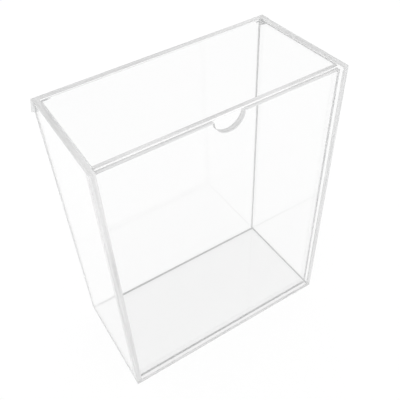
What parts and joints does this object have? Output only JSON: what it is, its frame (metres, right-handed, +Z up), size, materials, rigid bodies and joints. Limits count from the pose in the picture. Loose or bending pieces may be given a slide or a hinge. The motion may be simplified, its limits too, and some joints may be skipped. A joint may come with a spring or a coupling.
{
  "type": "card deck box",
  "caption": "Clear acrylic upright box for a deck of trading cards, with a hinged lid panel, a half-round finger notch in the front wall and small side hinge caps.",
  "frame": {"origin": "centre of the footprint, on the surface the box stands on", "axes": "+Z up through the lid, +X to the right across the front, the front wall with the notch faces -Y"},
  "size_m": [0.0778, 0.0374, 0.0972],
  "materials": {
    "clear_acrylic": "clear polished",
    "lid_acrylic": "clear polished",
    "pin_steel": "drawn wire",
    "cap_clear": "clear moulded"
  },
  "bodies": {
    "case": {"base_plate": "clear_acrylic", "front_wall": "clear_acrylic", "back_wall": "clear_acrylic", "left_wall": "clear_acrylic", "right_wall": "clear_acrylic", "left_hinge_pin": "pin_steel", "right_hinge_pin": "pin_steel", "left_hinge_cap": "cap_clear", "right_hinge_cap": "cap_clear"},
    "lid": {"lid_panel": "lid_acrylic"}
  },
  "joints": [
    {"name": "lid_hinge", "type": "hinge", "parent": "case", "child": "lid", "pos_m": [0, 0.0161, 0.0966], "axis": [-1, 0, 0], "range_deg": [0, 100]}
  ]
}
